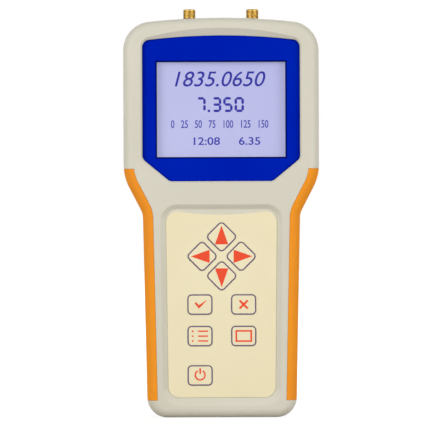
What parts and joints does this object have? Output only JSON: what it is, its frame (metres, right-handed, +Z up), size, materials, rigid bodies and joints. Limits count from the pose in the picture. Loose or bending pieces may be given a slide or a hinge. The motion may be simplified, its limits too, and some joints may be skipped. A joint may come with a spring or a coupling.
{
  "type": "antenna analyzer",
  "caption": "Handheld antenna analyzer: wide head with a display panel and two threaded jacks on top, narrower handle with keys, rubber side grips and a battery bay.",
  "frame": {"origin": "middle of the flat bottom end of the case, which it stands on", "axes": "+Z up along the case to the jacks, the display and keys face -Y, +X to the right of someone facing them"},
  "size_m": [0.1014, 0.037, 0.2119],
  "materials": {
    "case_plastic": "fine satin moulded plastic",
    "grip_rubber": "smooth soft rubber",
    "panel_blue": "satin printed panel",
    "clear_pane": "clear polished pane",
    "lcd": "smooth liquid crystal glass",
    "keypad_film": "fine textured polyester film",
    "black_plastic": "satin black plastic",
    "white_plastic": "smooth white plastic",
    "board_green": "solder mask over glass fibre",
    "gold_plate": "gold-plated brass",
    "screw_steel": "zinc-plated steel",
    "tin_plate": "tin-plated steel sheet",
    "spring_steel": "nickel-plated spring steel",
    "cell_jacket": "printed shrink sleeve over a metal can",
    "foam": "closed-cell foam"
  },
  "bodies": {
    "case": {"front_shell": "case_plastic", "rear_shell": "case_plastic", "left_grip": "grip_rubber", "right_grip": "grip_rubber", "case_screws": "screw_steel", "display_bezel": "panel_blue", "display_window": "clear_pane", "lcd_frame": "tin_plate", "lcd_glass": "lcd", "lcd_backlight": "white_plastic", "lcd_board": "board_green", "lcd_header": "black_plastic", "lcd_screws": "screw_steel", "keypad_overlay": "keypad_film", "switch_up": "black_plastic", "switch_left": "black_plastic", "switch_right": "black_plastic", "switch_down": "black_plastic", "switch_confirm": "black_plastic", "switch_cancel": "black_plastic", "switch_menu": "black_plastic", "switch_screen": "black_plastic", "switch_power": "black_plastic", "main_board": "board_green", "board_screws": "screw_steel", "rf_shield": "tin_plate", "board_chips": "black_plastic", "usb_socket": "tin_plate", "left_antenna_jack": "gold_plate", "right_antenna_jack": "gold_plate", "jack_insulators": "white_plastic", "jack_contacts": "gold_plate", "battery_cell_1": "cell_jacket", "battery_cell_2": "cell_jacket", "battery_cell_3": "cell_jacket", "battery_cell_4": "cell_jacket", "battery_springs": "spring_steel", "battery_contact_plates": "spring_steel"},
    "door": {"battery_door": "case_plastic", "door_foam_pad": "foam"},
    "key_up": {"key_up": "keypad_film", "plunger_up": "black_plastic"},
    "key_left": {"key_left": "keypad_film", "plunger_left": "black_plastic"},
    "key_right": {"key_right": "keypad_film", "plunger_right": "black_plastic"},
    "key_down": {"key_down": "keypad_film", "plunger_down": "black_plastic"},
    "key_confirm": {"key_confirm": "keypad_film", "plunger_confirm": "black_plastic"},
    "key_cancel": {"key_cancel": "keypad_film", "plunger_cancel": "black_plastic"},
    "key_menu": {"key_menu": "keypad_film", "plunger_menu": "black_plastic"},
    "key_screen": {"key_screen": "keypad_film", "plunger_screen": "black_plastic"},
    "key_power": {"key_power": "keypad_film", "plunger_power": "black_plastic"}
  },
  "joints": [
    {"name": "press_up", "type": "slide", "parent": "case", "child": "key_up", "axis": [0, 1, 0], "range_m": [0, 0.0003], "stiffness_N_per_m": 400, "springref_m": -0.0002},
    {"name": "press_left", "type": "slide", "parent": "case", "child": "key_left", "axis": [0, 1, 0], "range_m": [0, 0.0003], "stiffness_N_per_m": 400, "springref_m": -0.0002},
    {"name": "press_right", "type": "slide", "parent": "case", "child": "key_right", "axis": [0, 1, 0], "range_m": [0, 0.0003], "stiffness_N_per_m": 400, "springref_m": -0.0002},
    {"name": "press_down", "type": "slide", "parent": "case", "child": "key_down", "axis": [0, 1, 0], "range_m": [0, 0.0003], "stiffness_N_per_m": 400, "springref_m": -0.0002},
    {"name": "press_confirm", "type": "slide", "parent": "case", "child": "key_confirm", "axis": [0, 1, 0], "range_m": [0, 0.0003], "stiffness_N_per_m": 400, "springref_m": -0.0002},
    {"name": "press_cancel", "type": "slide", "parent": "case", "child": "key_cancel", "axis": [0, 1, 0], "range_m": [0, 0.0003], "stiffness_N_per_m": 400, "springref_m": -0.0002},
    {"name": "press_menu", "type": "slide", "parent": "case", "child": "key_menu", "axis": [0, 1, 0], "range_m": [0, 0.0003], "stiffness_N_per_m": 400, "springref_m": -0.0002},
    {"name": "press_screen", "type": "slide", "parent": "case", "child": "key_screen", "axis": [0, 1, 0], "range_m": [0, 0.0003], "stiffness_N_per_m": 400, "springref_m": -0.0002},
    {"name": "press_power", "type": "slide", "parent": "case", "child": "key_power", "axis": [0, 1, 0], "range_m": [0, 0.0003], "stiffness_N_per_m": 400, "springref_m": -0.0002},
    {"name": "door_tilt", "type": "hinge", "parent": "case", "child": "door", "pos_m": [0, 0.0157, 0.0766], "axis": [1, 0, 0], "range_deg": [0, 28]}
  ]
}
